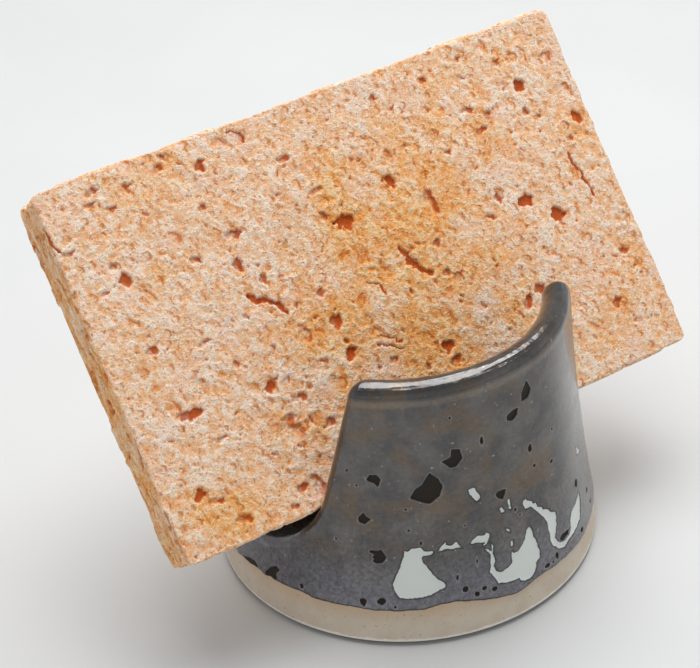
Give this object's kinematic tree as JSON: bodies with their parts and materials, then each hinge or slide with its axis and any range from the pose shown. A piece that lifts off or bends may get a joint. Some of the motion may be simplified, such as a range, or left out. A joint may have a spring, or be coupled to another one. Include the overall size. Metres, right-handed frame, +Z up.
{
  "type": "sponge holder",
  "caption": "Slotted stoneware cup with a flat foot and a dark glaze, holding a cellulose sponge that leans on edge in the slots to drain and dry.",
  "frame": {"origin": "middle of the foot's flat underside", "axes": "+Z up, +X along the slots and the sponge's long side, the sponge's top leans towards +Y"},
  "size_m": [0.11, 0.0722, 0.0797],
  "materials": {
    "bare_stoneware": "unglazed cream stoneware, faintly flashed with orange under the glaze line",
    "gunmetal_glaze": "satin gunmetal glaze with brown clouds, dark pits and crawled white patches",
    "cellulose_sponge": "dry pale peach cellulose with open pores"
  },
  "bodies": {
    "holder": {"stoneware_body": "bare_stoneware", "gunmetal_glaze": "gunmetal_glaze"},
    "loose_sponge": {"sponge": "cellulose_sponge"}
  },
  "joints": [
    {"name": "sponge_lift", "type": "slide", "parent": "holder", "child": "loose_sponge", "axis": [0, 0.6361, 0.7716], "range_m": [0, 0.06]}
  ]
}
